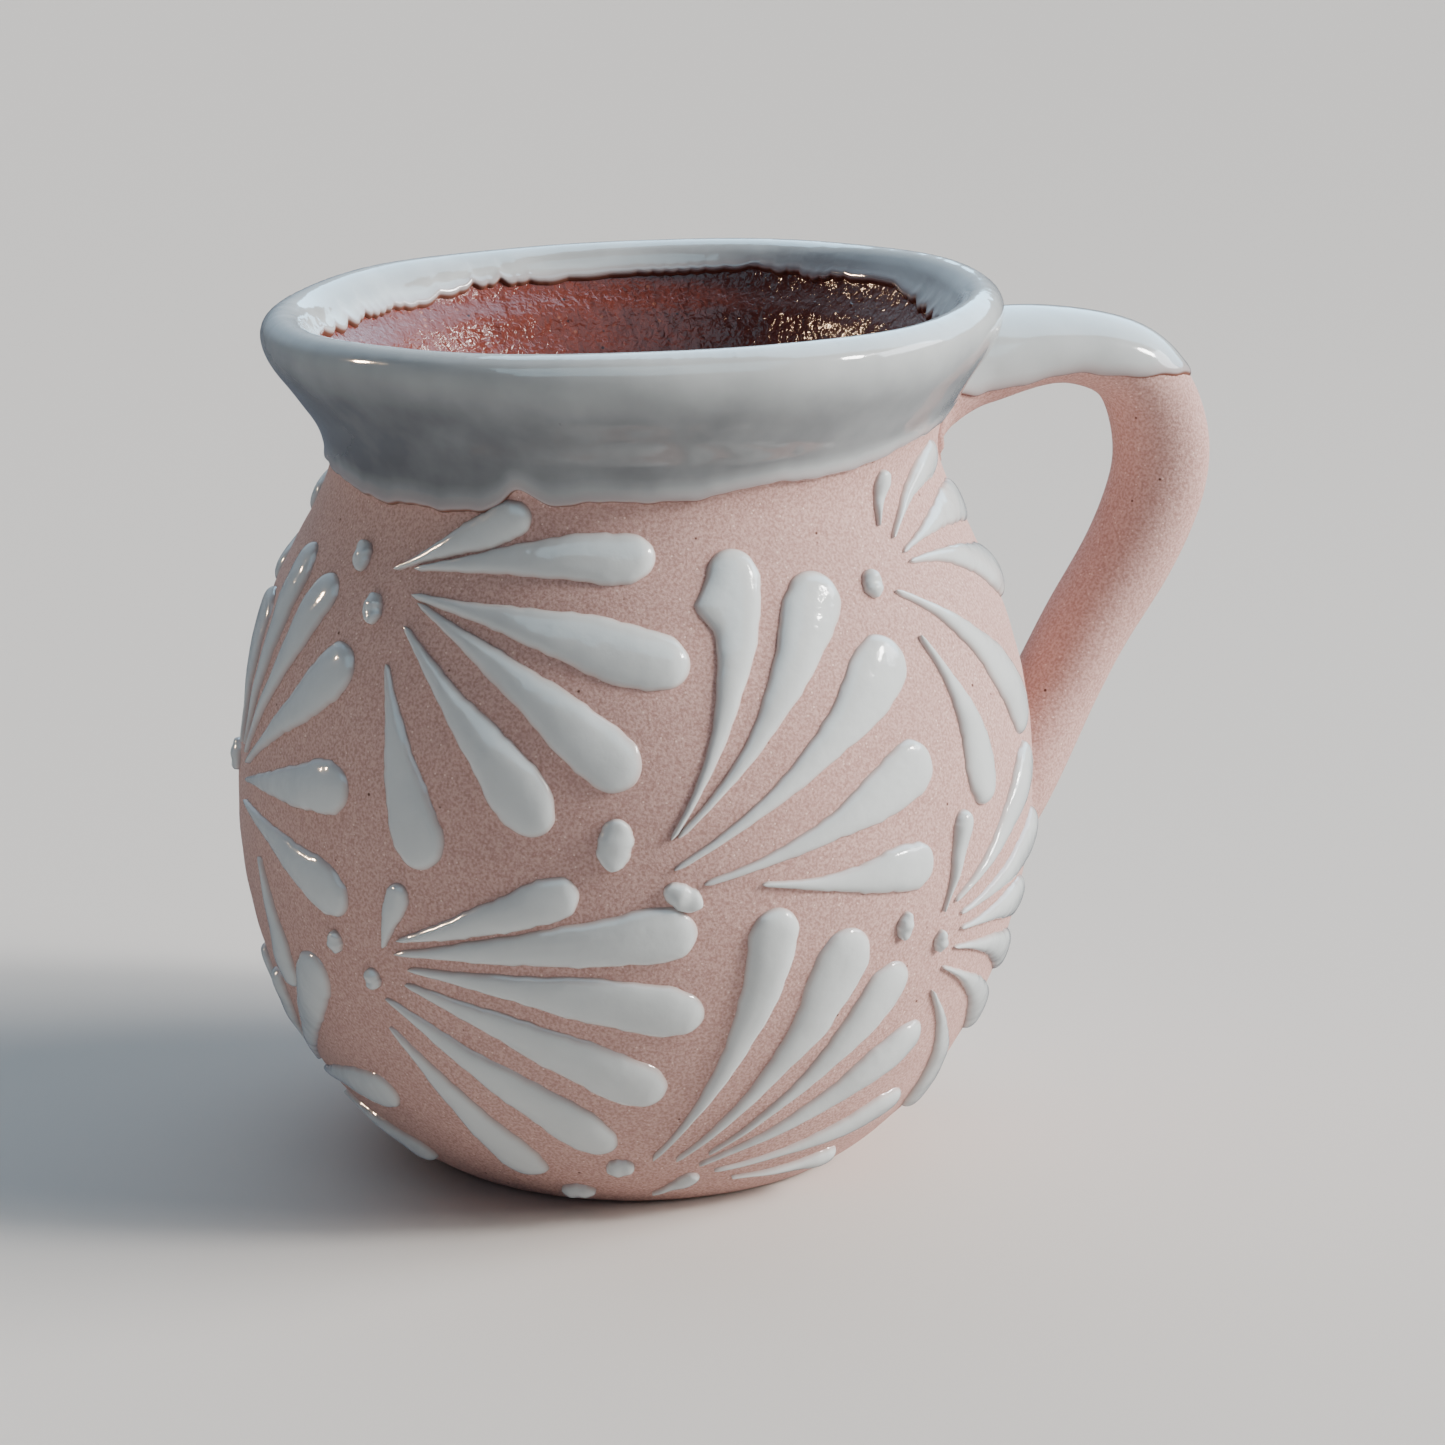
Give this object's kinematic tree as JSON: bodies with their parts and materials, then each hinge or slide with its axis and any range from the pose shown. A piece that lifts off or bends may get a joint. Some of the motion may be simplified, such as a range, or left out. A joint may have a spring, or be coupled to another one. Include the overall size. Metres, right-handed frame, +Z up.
{
  "type": "ceramic jug",
  "caption": "Small round-bellied ceramic jug with a flared glazed rim, a pulled loop handle and raised fans of pale slip.",
  "frame": {"origin": "centre of the flat foot, on the surface it stands on", "axes": "+Z up along the jug's axis, +X towards the handle, +Y to the left of the handle seen from above"},
  "size_m": [0.1251, 0.0986, 0.1054],
  "materials": {
    "clay": "unglazed fired terracotta",
    "engobe": "matt sandy pink engobe",
    "dark_glaze": "glossy dark red-brown glaze",
    "white_glaze": "glossy thick grey-white glaze",
    "white_slip": "glossy raised grey-white slip"
  },
  "bodies": {
    "root": {"clay_body": "clay", "engobe_coat": "engobe", "interior_glaze": "dark_glaze", "rim_glaze": "white_glaze", "handle": "engobe", "handle_glaze": "white_glaze", "slip_fan_neck_left": "white_slip", "slip_fan_neck_right": "white_slip", "slip_fan_belly_left": "white_slip", "slip_fan_belly_front": "white_slip", "slip_fan_waist_left": "white_slip", "slip_fan_waist_right": "white_slip", "slip_fan_foot_left": "white_slip", "slip_fan_foot_front": "white_slip", "slip_fan_foot_handle": "white_slip", "slip_fan_neck_back_left": "white_slip", "slip_fan_neck_back_right": "white_slip", "slip_fan_belly_back": "white_slip", "slip_fan_waist_back_left": "white_slip", "slip_fan_waist_back_right": "white_slip", "slip_fan_foot_back": "white_slip", "slip_dot_neck_left": "white_slip", "slip_dot_neck_right": "white_slip", "slip_dot_belly_left": "white_slip", "slip_dot_belly_front": "white_slip", "slip_dot_waist_left": "white_slip", "slip_dot_waist_right": "white_slip", "slip_dot_foot_left": "white_slip", "slip_dot_foot_front": "white_slip", "slip_dot_foot_handle": "white_slip", "slip_dot_neck_back_left": "white_slip", "slip_dot_neck_back_right": "white_slip", "slip_dot_belly_back": "white_slip", "slip_dot_waist_back_left": "white_slip", "slip_dot_waist_back_right": "white_slip", "slip_dot_foot_back": "white_slip"}
  },
  "joints": []
}
